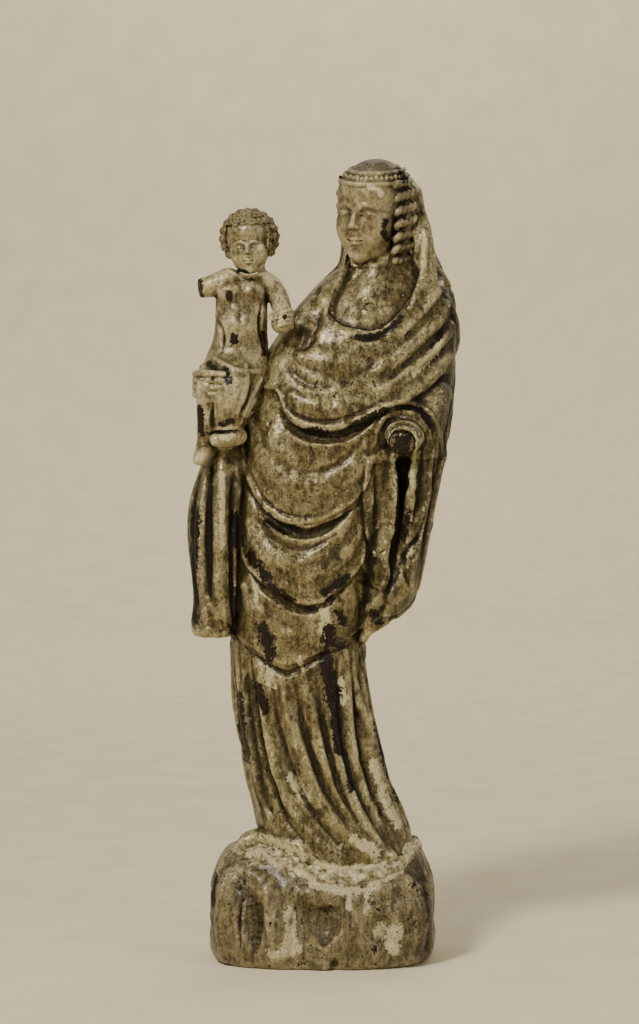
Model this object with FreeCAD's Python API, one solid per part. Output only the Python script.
import FreeCAD, Part
import math
import os

from FreeCAD import Vector

# Carved wooden Madonna and Child on a rock-shaped plinth, as the separate pieces that a
# workshop made and joined. Millimetres. +Z is up, the figure looks along -Y, +X is on the
# right of someone facing it, and the origin is the middle of the plinth's underside.

# ---- overall sizes -------------------------------------------------------------------
total_height = 600.0      # floor to crown
total_width = 200.0       # across the child and the mantle's outer edge
log_depth = 100.0         # front of the plinth to the flat back of the figure

# The stations below are drawn for these sizes and stretched to the three above.
drawn_height = 600.0
drawn_width = 200.0
drawn_depth = 100.0

# ---- sizes of the fitted pieces ------------------------------------------------------
glue_gap = 0.1            # between two pieces glued face to face
foot_gap = 0.25           # between the figure's foot and its recess in the plinth
foot_depth = 16.0         # how deep the foot stands in the plinth
foot_dowel_radius = 6.0
foot_dowel_length = 46.0
foot_dowel_spacing = 52.0
filler_width = 5.5        # gesso packed round the foot, from the robe outwards
filler_height = 2.2       # above the plinth

hollow_depth = 42.0       # from the flat back into the log
board_thickness = 9.0
board_gap = 0.3
board_ledge = 7.0         # ledge round the hollow that the board lies on
peg_radius = 2.4
peg_length = 20.0
peg_head_proud = 0.8
peg_inset = 3.5           # peg centre to the board's edge
peg_rows = 3

head_plug_radius = 5.5
head_plug_length = 20.0
head_plug_sunk = 2.5      # its top below the crown
pin_radius = 0.9
pin_length = 10.0
pin_head_radius = 1.7
pin_head_height = 1.1
setting_outer_radius = 4.4
setting_inner_radius = 2.3
setting_height = 2.4
setting_pin_radius = 1.0
setting_pin_length = 8.0

tenon_radius = 8.0        # wrist stump of the lost left hand
tenon_length = 34.0
tenon_proud = 5.0         # past the cuff
tenon_gap = 0.3
hand_dowel_radius = 2.2
hand_dowel_length = 14.0
hand_dowel_sunk = 1.5     # broken off below the stump's face

child_dowel_radius = 3.0
child_dowel_length = 26.0
arm_radius = 7.4          # the child's cut right arm
arm_dowel_radius = 2.0
arm_dowel_length = 12.0
arm_dowel_sunk = 1.0
forearm_dowel_radius = 1.6
forearm_dowel_length = 10.0
wrist_dowel_radius = 2.0
wrist_dowel_length = 12.0

# ---- drawn places --------------------------------------------------------------------
back_plane = 42.0         # the figure's flat back
plinth_back = 48.0        # the plinth's flat back
foot_top = 72.0           # plinth height at the middle of its top, where the foot enters

# Outlines, bottom to top: height, left, right, front, back.
plinth_sections = [
    (0, -77, 76, -51, 60), (5, -82, 81, -56, 62), (20, -84, 83, -58, 64),
    (45, -84, 83, -57, 64), (60, -83, 82, -54, 63), (72, -80, 79, -49, 61),
    (82, -72, 74, -41, 56), (88, -60, 67, -31, 46),
]
# Scoops that make the rock: middle, then half sizes.
rock_scoops = [
    ((-52, -66, 34), (13, 16, 30)), ((-4, -74, 40), (30, 24, 30)), ((46, -72, 30), (20, 20, 30)),
    ((92, -20, 40), (14, 24, 32)), ((-94, -14, 36), (16, 22, 30)), ((92, 24, 30), (14, 14, 26)),
]
robe_sections = [
    (30, -44, 63, -45, 50), (56, -45, 64, -46, 50), (72, -47, 67, -49, 52), (86, -48, 68, -48, 54),
    (100, -50, 65, -45, 55), (120, -53, 55, -42, 56), (140, -57, 46, -40, 56),
    (165, -61, 40, -39, 56), (195, -66, 34, -39, 56), (225, -69, 31, -41, 57),
    (250, -70, 32, -44, 58), (280, -69, 38, -47, 58), (310, -67, 44, -49, 58),
    (345, -64, 52, -52, 58), (380, -61, 64, -54, 58), (405, -59, 80, -54, 58),
    (425, -56, 96, -52, 58), (445, -49, 99, -48, 58), (465, -37, 100, -44, 57),
    (482, -26, 99, -39, 56), (497, -14, 97, -33, 54), (508, -4, 93, -25, 51),
    (518, 8, 89, -17, 48), (528, 15, 84, -9, 45), (542, 16, 80, -5, 43),
    (556, 15, 78, -5, 42), (570, 13, 74, -8, 41), (582, 15, 69, -13, 38),
    (592, 21, 61, -14, 31), (598, 29, 52, -8, 21),
]
head_sections = [
    (520, 34, 42, -26, -4), (526, 25, 48, -35, 2), (535, 19, 53, -40, 6),
    (547, 14, 57, -42, 8), (560, 12, 59, -41, 10), (573, 11, 59, -38, 12),
    (584, 12, 58, -34, 14), (592, 18, 54, -27, 14), (597, 25, 49, -19, 12),
    (600, 33, 42, -8, 6),
]
shoe_path = [(-40, -12, 92), (-57, -18, 89)]   # the toe that shows beside the hem
shoe_radii = [9, 7]
# The mantle's hanging ends: height, left, right, front, back.
left_fall_sections = [
    (244, -98, -64, -34, 30), (262, -97, -62, -36, 32), (290, -96, -60, -38, 34),
    (330, -99, -58, -39, 36), (352, -96, -56, -38, 36), (370, -91, -54, -35, 34),
    (388, -83, -52, -26, 30), (402, -76, -52, -14, 24),
]
right_fall_sections = [
    (240, 26, 34, -26, 28), (252, 27, 46, -29, 32), (264, 28, 62, -32, 34),
    (276, 30, 70, -34, 36), (300, 32, 75, -36, 38), (340, 36, 81, -40, 40),
    (375, 40, 88, -43, 42), (405, 46, 94, -44, 44), (425, 52, 97, -40, 44),
    (440, 60, 92, -26, 40), (456, 66, 88, -8, 34),
]
# The sleeve on the arm that carries the child.
arm_sections = [
    (393, -72, -30, -6, 24), (401, -88, -20, -16, 32), (413, -92, -10, -21, 36),
    (425, -91, -10, -20, 38), (435, -78, -10, -10, 38), (446, -56, -4, 0, 36),
]
# Hollow and board: height, left, right edge of the board on the flat back.
board_edges = [
    (104, -34, 46), (150, -44, 32), (200, -50, 24), (250, -52, 24), (300, -50, 28),
    (350, -46, 34), (400, -40, 44), (440, -28, 56), (470, -8, 62),
]

neck_path = [(40, 0, 505), (38, -4, 520), (36, -6, 540)]
neck_radius = 15.0

cuff_path = [(74, -8, 416), (66, -30, 402), (60, -48, 393)]
cuff_radii = [20, 17, 13]
tenon_direction = (-0.14, -0.96, -0.24)

# The child: height, left, right, front, back.
child_sections = [
    (384, -88, -66, -38, -12), (396, -91, -61, -46, -8), (412, -93, -52, -52, -6),
    (427, -93, -45, -54, -4), (440, -91, -41, -50, -4), (455, -86, -40, -43, -4),
    (470, -81, -41, -39, -5), (486, -80, -41, -38, -6), (498, -80, -40, -36, -7),
    (507, -80, -37, -34, -8), (513, -72, -41, -31, -10), (518, -64, -45, -30, -13),
    (524, -62, -47, -32, -15),
]
child_head_sections = [
    (512, -59, -49, -37, -20), (517, -68, -42, -44, -12), (526, -75, -35, -48, -6),
    (537, -78, -31, -49, -4), (547, -77, -33, -47, -4), (555, -71, -38, -42, -9),
    (561, -60, -48, -33, -19),
]
child_dowel_upper = (-46, -6, 440)
child_dowel_lower = (-68, -6, 414)
child_stump_path = [(-68, -22, 507), (-92, -27, 504)]
child_shoulder_radius = 9.5
child_upper_arm_path = [(-42, -22, 507), (-34, -24, 498), (-30, -27, 487)]
child_upper_arm_radii = [7.5, 6.6, 6.4]
child_forearm_path = [(-30, -27, 487), (-29, -38, 482), (-30, -46, 478)]
child_forearm_radii = [6.4, 5.6, 4.8]
child_hand_path = [(-30, -46, 477), (-30, -52, 477)]
child_hand_radii = [7.4, 7.4]
child_near_foot_path = [(-62, -42, 394), (-77, -50, 391)]
child_near_foot_radii = [6.6, 5.6]
child_far_foot_path = [(-85, -36, 388), (-90, -44, 378)]
child_far_foot_radii = [6.4, 5.8]

mother_hand_path = [(-88, -2, 430), (-92, -14, 431), (-93, -24, 431)]
mother_hand_radii = [8.5, 8.5, 7.0]
finger_direction = (0.93, -0.30, -0.12)
finger_length = 13.0
finger_radius = 2.6
finger_spacing = 4.6
wrist_joint = (-90, -4, 430)
wrist_direction = (-0.25, -1, 0.05)

# A limb's rounded end: how far past its last point, and how thick, in shares of its radius.
tip_steps = [(0.92, 0.38), (0.6, 0.8)]


def place(x, y, z):
    """A drawn point, stretched to the overall sizes."""
    return Vector(
        x * total_width / drawn_width,
        y * log_depth / drawn_depth,
        z * total_height / drawn_height,
    )


def bulk():
    """How much rounder pieces grow or shrink with the overall sizes."""
    return min(total_width / drawn_width, log_depth / drawn_depth, total_height / drawn_height)


def closed_wire(points):
    """A smooth closed wire through points."""
    curve = Part.BSplineCurve()
    curve.interpolate(points, PeriodicFlag=True)
    return Part.Wire(curve.toShape())


def outline(section, grow, squareness=2.4, count=28):
    """One rounded outline at the height of section, grown outwards."""
    height, left, right, front, back = section
    low, high = place(left, front, height), place(right, back, height)
    middle = (low + high) * 0.5
    half_x = (high.x - low.x) / 2 + grow
    half_y = (high.y - low.y) / 2 + grow
    points = []
    for step in range(count):
        turn = 2 * math.pi * step / count
        c, s = math.cos(turn), math.sin(turn)
        x = math.copysign(abs(c) ** (2 / squareness), c) * half_x
        y = math.copysign(abs(s) ** (2 / squareness), s) * half_y
        points.append(Vector(middle.x + x, middle.y + y, low.z))
    return closed_wire(points)


def loft(sections, grow=0.0, squareness=2.4):
    """A solid through the outlines of sections."""
    wires = [outline(section, grow, squareness) for section in sections]
    return Part.makeLoft(wires, True, False)


def box_between(low, high):
    size = high - low
    return Part.makeBox(size.x, size.y, size.z, low)


def rod(centre, direction, length, radius):
    """A cylinder whose axis is centred on a point."""
    axis = Vector(direction).normalize()
    return Part.makeCylinder(radius, length, centre - axis * (length / 2), axis)


def ring(centre, along, across, radius):
    """A round section of a limb, across its direction."""
    side = along.cross(across).normalize()
    rise = along.cross(side)
    turns = [2 * math.pi * step / 12 for step in range(12)]
    around = [side * math.cos(t) + rise * math.sin(t) for t in turns]
    return closed_wire([centre + direction * radius for direction in around])


def limb(path, radii):
    """A round tapering limb along drawn points, with round ends."""
    points = [place(*p) for p in path]
    sizes = [r * bulk() for r in radii]
    span = points[-1] - points[0]
    across = min((Vector(1, 0, 0), Vector(0, 1, 0), Vector(0, 0, 1)), key=lambda a: abs(a.dot(span)))
    begin = (points[1] - points[0]).normalize()
    end = (points[-1] - points[-2]).normalize()
    sections = []
    for out, size in tip_steps:
        sections.append((points[0] - begin * (sizes[0] * out), begin, sizes[0] * size))
    for i, point in enumerate(points):
        along = (points[min(i + 1, len(points) - 1)] - points[max(i - 1, 0)]).normalize()
        sections.append((point, along, sizes[i]))
    for out, size in reversed(tip_steps):
        sections.append((points[-1] + end * (sizes[-1] * out), end, sizes[-1] * size))
    return Part.makeLoft([ring(c, along, across, r) for c, along, r in sections], True, False)


def ellipsoid(centre, radii):
    """An egg at a drawn point."""
    matrix = FreeCAD.Matrix()
    matrix.scale(*(r * bulk() for r in radii))
    ball = Part.makeSphere(1.0).transformGeometry(matrix)
    ball.translate(place(*centre))
    return ball


def first_hit(shape, start, direction, reach=200.0):
    """Where a line from outside first meets shape."""
    end = start + Vector(direction).normalize() * reach
    inside = shape.common(Part.makeLine(start, end))
    return min((v.Point for v in inside.Vertexes), key=lambda p: (p - start).Length)


def one_solid(shape):
    """The largest solid of a shape."""
    return max(shape.Solids, key=lambda s: s.Volume)


# ---- plinth and its joint with the figure --------------------------------------------
def foot_dowel_centres():
    middle = place(6, 0, foot_top - foot_depth)
    return [middle + Vector(side * foot_dowel_spacing / 2, 0, 0) for side in (-1, 1)]


def figure_foot(grow):
    """The part of the robe's loft that stands in the plinth, grown by a gap."""
    return loft(robe_sections, grow).common(foot_block(grow)).fuse(shoe(grow))


def foot_block(grow):
    floor = place(0, 0, foot_top - foot_depth).z - grow
    edge = Vector(total_width, log_depth, 0)
    low = Vector(-edge.x, -edge.y, floor)
    high = Vector(edge.x, place(0, back_plane, 0).y + grow, place(0, 0, 140).z)
    return box_between(low, high)


def make_plinth_body(grow=0.0):
    body = loft(plinth_sections, grow, squareness=3.0)
    scoops = [ellipsoid(centre, [r - grow for r in radii]) for centre, radii in rock_scoops]
    return body.cut(scoops + [behind(place(0, plinth_back, 0).y)])


def make_plinth():
    return one_solid(make_plinth_body().cut([figure_foot(foot_gap)] + foot_dowel_holes()))


def foot_dowel_holes():
    length, radius = foot_dowel_length + glue_gap, foot_dowel_radius + glue_gap
    return [rod(centre, (0, 0, 1), length, radius) for centre in foot_dowel_centres()]


def make_foot_dowels():
    return Part.makeCompound(
        [rod(c, (0, 0, 1), foot_dowel_length, foot_dowel_radius) for c in foot_dowel_centres()]
    )


def make_foot_filler():
    """Gesso pressed into the corner between robe and plinth, all round."""
    band = make_plinth_body(filler_height).common(figure_foot(filler_width))
    inner = [make_plinth_body(glue_gap), figure_foot(glue_gap), behind(place(0, back_plane, 0).y)]
    return one_solid(band.cut(inner))


# ---- hollow, board and pegs ----------------------------------------------------------
def board_outline(inset):
    """Corner points of the board on the flat back, moved inwards by inset."""
    y = place(0, back_plane, 0).y
    left, right = [], []
    for height, low, high in board_edges:
        left.append(Vector(place(low, 0, 0).x + inset, y, place(0, 0, height).z))
        right.append(Vector(place(high, 0, 0).x - inset, y, place(0, 0, height).z))
    for edge in (left, right):
        edge[0].z += inset
        edge[-1].z -= inset
    return left, right


def board_block(inset, thickness, proud=0.0):
    """A plate of the board's outline, from the flat back into the log."""
    left, right = board_outline(inset)
    sides = []
    for edge in (left, right):
        curve = Part.BSplineCurve()
        curve.interpolate(edge)
        sides.append(curve.toShape())
    rise = (right[-1] - left[-1]).Length / 3
    top = (left[-1] + right[-1]) * 0.5 + Vector(0, 0, rise)
    head = Part.Arc(left[-1], top, right[-1]).toShape()
    foot = Part.makeLine(right[0], left[0])
    face = Part.Face(Part.Wire(Part.__sortEdges__([sides[0], head, sides[1], foot])))
    face.translate(Vector(0, proud, 0))
    return face.extrude(Vector(0, -(thickness + proud), 0))


def peg_points():
    """Peg centres down both long sides of the board."""
    left, right = board_outline(peg_inset)
    y = left[0].y
    picks = [round(i * (len(left) - 1) / (peg_rows - 1)) for i in range(peg_rows)]
    points = []
    for i in picks:
        for edge, inward in ((left, 1), (right, -1)):
            z = edge[i].z + (2 if i == 0 else -2 if i == picks[-1] else 0)
            points.append(Vector(edge[i].x + inward * 0.4, y, z))
    return points


def make_back_board():
    board = board_block(board_gap, board_thickness - board_gap)
    return one_solid(board.cut(peg_holes()))


def peg_holes():
    depth = 2 * (peg_length - peg_head_proud + glue_gap)
    return [rod(point, (0, 1, 0), depth, peg_radius + glue_gap) for point in peg_points()]


def make_back_pegs():
    pegs = []
    for point in peg_points():
        start = point + Vector(0, peg_head_proud, 0)
        peg = Part.makeCone(peg_radius, peg_radius * 0.8, peg_length, start, Vector(0, -1, 0))
        pegs.append(peg)
    return Part.makeCompound(pegs)


# ---- the Virgin ----------------------------------------------------------------------
def behind(y):
    """Everything behind a flat back."""
    low = Vector(-2 * total_width, y, -total_height)
    high = Vector(2 * total_width, y + 2 * log_depth, 2 * total_height)
    return box_between(low, high)


def shoe(grow):
    return limb(shoe_path, [r + grow / bulk() for r in shoe_radii])


def make_robe(grow=0.0):
    """The carved log without its joints: robe, mantle ends, sleeves, neck, head."""
    pieces = [
        loft(left_fall_sections, grow, squareness=2.8),
        loft(right_fall_sections, grow, squareness=2.8),
        loft(head_sections, grow, squareness=2.1),
        limb(neck_path, [neck_radius] * len(neck_path)),
        shoe(grow),
        limb(cuff_path, [r + grow / bulk() for r in cuff_radii]),
        loft(arm_sections, grow),
    ]
    body = loft(robe_sections, grow).fuse(pieces)
    low = Vector(-2 * total_width, -2 * log_depth, -total_height)
    floor = Vector(2 * total_width, 2 * log_depth, place(0, 0, foot_top - foot_depth).z)
    return body.cut([behind(place(0, back_plane, 0).y), box_between(low, floor)])


def tenon_centre():
    """Middle of the wrist stump, so that its face stands proud of the cuff."""
    axis = Vector(*tenon_direction).normalize()
    mouth = place(*cuff_path[-1]) + axis * (cuff_radii[-1] * bulk())
    return mouth + axis * (tenon_proud - tenon_length / 2)


def make_hand_tenon():
    centre = tenon_centre()
    axis = Vector(*tenon_direction).normalize()
    stump = rod(centre, axis, tenon_length, tenon_radius)
    face = centre + axis * (tenon_length / 2)
    bore_length = 2 * (hand_dowel_length + hand_dowel_sunk + glue_gap)
    bore = rod(face, axis, bore_length, hand_dowel_radius + glue_gap)
    return one_solid(stump.cut(bore))


def make_hand_dowel():
    axis = Vector(*tenon_direction).normalize()
    face = tenon_centre() + axis * (tenon_length / 2)
    middle = face - axis * (hand_dowel_sunk + hand_dowel_length / 2)
    return rod(middle, axis, hand_dowel_length, hand_dowel_radius)


def head_plug_centre():
    return place(40, 4, drawn_height) - Vector(0, 0, head_plug_sunk + head_plug_length / 2)


def pin_frames(robe):
    """Foot point and outward direction of each pin of the lost crown."""
    middle = place(40, 2, 587)
    frames = []
    for turn in (-150, -95, -40, 60):
        out = Vector(math.cos(math.radians(turn)), math.sin(math.radians(turn)), 0)
        point = first_hit(robe, middle + out * total_width, out * -1)
        frames.append((point, out))
    return frames


def setting_frame(robe):
    """Where the brooch's setting sits on the breast, and its outward direction."""
    start = place(34, -95, 490)
    point = first_hit(robe, start, (0, 1, 0))
    return point, Vector(0, -1, 0.25).normalize()


def make_virgin_figure(robe):
    cutters = [board_block(0.0, board_thickness, proud=1.0)]
    cutters.append(board_block(board_ledge, hollow_depth, proud=1.0))
    cutters += peg_holes() + foot_dowel_holes() + child_dowel_holes() + [wrist_dowel_hole()]
    socket_length = tenon_length + 2 * tenon_gap
    cutters.append(rod(tenon_centre(), Vector(*tenon_direction), socket_length, tenon_radius + tenon_gap))
    plug_top = head_plug_centre() + Vector(0, 0, head_plug_length)
    plug_radius = head_plug_radius + glue_gap
    cutters.append(rod(plug_top, (0, 0, 1), 3 * head_plug_length + 2 * glue_gap, plug_radius))
    for point, out in pin_frames(robe):
        cutters.append(rod(point, out, 2 * pin_length, pin_radius + glue_gap))
        cutters.append(rod(point, out, 2 * glue_gap, pin_head_radius + glue_gap))
        cutters.append(Part.makeCylinder(pin_head_radius + glue_gap, pin_length, point, out))
    point, out = setting_frame(robe)
    pin_depth = 2 * (setting_pin_length + glue_gap)
    cutters.append(rod(point, out, setting_height, setting_outer_radius + glue_gap))
    cutters.append(rod(point, out, pin_depth, setting_pin_radius + glue_gap))
    return one_solid(robe.cut(cutters))


def make_head_plug():
    return rod(head_plug_centre(), (0, 0, 1), head_plug_length, head_plug_radius)


def make_crown_pins(robe):
    pins = []
    for point, out in pin_frames(robe):
        shank = rod(point - out * ((pin_length - 0.5) / 2), out, pin_length - 0.5, pin_radius)
        head = Part.makeCylinder(pin_head_radius, pin_head_height, point + out * glue_gap * 2, out)
        join = Part.makeCylinder(pin_radius, 1.0, point - out * 0.5, out)
        pins.append(one_solid(shank.fuse([head, join])))
    return Part.makeCompound(pins)


def make_brooch_setting(robe):
    point, out = setting_frame(robe)
    ring = rod(point + out * glue_gap, out, setting_height - glue_gap, setting_outer_radius)
    well = Part.makeCylinder(setting_inner_radius, setting_height, point, out)
    pin = Part.makeCylinder(setting_pin_radius, setting_pin_length, point, out * -1)
    return one_solid(ring.cut(well).fuse(pin))


# ---- the child -----------------------------------------------------------------------
def child_dowel_centres():
    """Two dowels from the child's back into the mother's arm."""
    return [place(*child_dowel_upper), place(*child_dowel_lower)]


def child_dowel_holes():
    length, radius = child_dowel_length + glue_gap, child_dowel_radius + glue_gap
    return [rod(centre, (0, 1, 0), length, radius) for centre in child_dowel_centres()]


def make_child_body():
    """The seated child without its joints, its right arm ending in a flat cut."""
    stump = [place(*p) for p in child_stump_path]
    arm = arm_radius * bulk()
    upper_arm = rod((stump[0] + stump[1]) * 0.5, stump[1] - stump[0], (stump[1] - stump[0]).Length, arm)
    return loft(child_sections, squareness=2.2).fuse([
        loft(child_head_sections, squareness=2.0),
        limb(child_near_foot_path, child_near_foot_radii),
        limb(child_far_foot_path, child_far_foot_radii),
        upper_arm_to_elbow(),
        Part.makeSphere(child_shoulder_radius * bulk(), stump[0]),
        upper_arm,
    ])


def upper_arm_to_elbow():
    """The child's left upper arm, cut level at the elbow's joint."""
    arm = limb(child_upper_arm_path, child_upper_arm_radii)
    elbow = place(*child_upper_arm_path[-1])
    reach = 4 * child_upper_arm_radii[0]
    corner = Vector(reach, reach, 0)
    return arm.cut(box_between(elbow - corner - Vector(0, 0, reach), elbow + corner))


def make_child_figure(body, grown_robe, grown_hand):
    end = place(*child_stump_path[-1])
    bore_length = 2 * (arm_dowel_length + arm_dowel_sunk + glue_gap)
    cutters = [grown_robe, grown_hand] + child_dowel_holes()
    cutters.append(rod(end, arm_axis(), bore_length, arm_dowel_radius + glue_gap))
    cutters.append(forearm_dowel_hole())
    return one_solid(body.cut(cutters))


def arm_axis():
    """Along the child's right upper arm, from the cut inwards."""
    return (place(*child_stump_path[0]) - place(*child_stump_path[-1])).normalize()


def forearm_dowel_hole():
    elbow = place(*child_forearm_path[0])
    return rod(elbow, (0, 0, 1), forearm_dowel_length + glue_gap, forearm_dowel_radius + glue_gap)


def make_child_dowels():
    return Part.makeCompound(
        [rod(c, (0, 1, 0), child_dowel_length, child_dowel_radius) for c in child_dowel_centres()]
    )


def make_child_arm_dowel():
    middle = place(*child_stump_path[-1]) + arm_axis() * (arm_dowel_sunk + arm_dowel_length / 2)
    return rod(middle, arm_axis(), arm_dowel_length, arm_dowel_radius)


def make_child_left_forearm():
    arm = limb(child_forearm_path, child_forearm_radii)
    arm = arm.fuse(limb(child_hand_path, child_hand_radii))
    elbow = place(*child_forearm_path[0]) - Vector(0, 0, glue_gap)
    reach = 8 * child_forearm_radii[0]
    corner = Vector(reach, reach, 0)
    arm = arm.cut(box_between(elbow - corner, elbow + corner + Vector(0, 0, reach)))
    return one_solid(arm.cut(forearm_dowel_hole()))


def make_forearm_dowel():
    return rod(place(*child_forearm_path[0]), (0, 0, 1), forearm_dowel_length, forearm_dowel_radius)


# ---- the mother's right hand ---------------------------------------------------------
def make_mother_hand(grow=0.0):
    """Palm and four fingers round the child's hip."""
    palm = limb(mother_hand_path, [r + grow / bulk() for r in mother_hand_radii])
    knuckles = place(*mother_hand_path[-1])
    ahead = Vector(*finger_direction).normalize()
    radius = finger_radius + grow
    fingers = []
    for i in range(4):
        start = knuckles + Vector(2, -3, (1.5 - i) * finger_spacing)
        fingers.append(Part.makeCylinder(radius, finger_length, start, ahead))
        fingers.append(Part.makeSphere(radius, start + ahead * finger_length))
    return palm.fuse(fingers)


def make_mother_right_hand(grown_robe):
    return one_solid(make_mother_hand().cut([grown_robe, wrist_dowel_hole()]))


def wrist_dowel_rod(gap):
    """The dowel through the wrist, grown by a gap."""
    middle = place(*wrist_joint)
    return rod(middle, Vector(*wrist_direction), wrist_dowel_length + gap, wrist_dowel_radius + gap)


def wrist_dowel_hole():
    return wrist_dowel_rod(glue_gap)


def make_wrist_dowel():
    return wrist_dowel_rod(0.0)


# ---- write one file per piece --------------------------------------------------------
def write(name, shape):
    if not shape.isValid():
        print("not valid:", name)
    print(f"{name}: {len(shape.Solids)} solid, {shape.Volume / 1000:.1f} cm3")
    shape.exportStep(f"parts/{name}.step")


def main():
    os.makedirs("parts", exist_ok=True)
    robe = make_robe()
    grown_robe = make_robe(glue_gap)
    write("plinth", make_plinth())
    write("foot_dowels", make_foot_dowels())
    write("foot_filler", make_foot_filler())
    write("virgin_figure", make_virgin_figure(robe))
    write("back_board", make_back_board())
    write("back_pegs", make_back_pegs())
    write("head_plug", make_head_plug())
    write("crown_pins", make_crown_pins(robe))
    write("brooch_setting", make_brooch_setting(robe))
    write("hand_tenon", make_hand_tenon())
    write("hand_dowel", make_hand_dowel())
    write("mother_right_hand", make_mother_right_hand(grown_robe))
    write("wrist_dowel", make_wrist_dowel())
    write("child_figure", make_child_figure(make_child_body(), grown_robe, make_mother_hand(glue_gap)))
    write("child_dowels", make_child_dowels())
    write("child_left_forearm", make_child_left_forearm())
    write("forearm_dowel", make_forearm_dowel())
    write("child_arm_dowel", make_child_arm_dowel())


main()
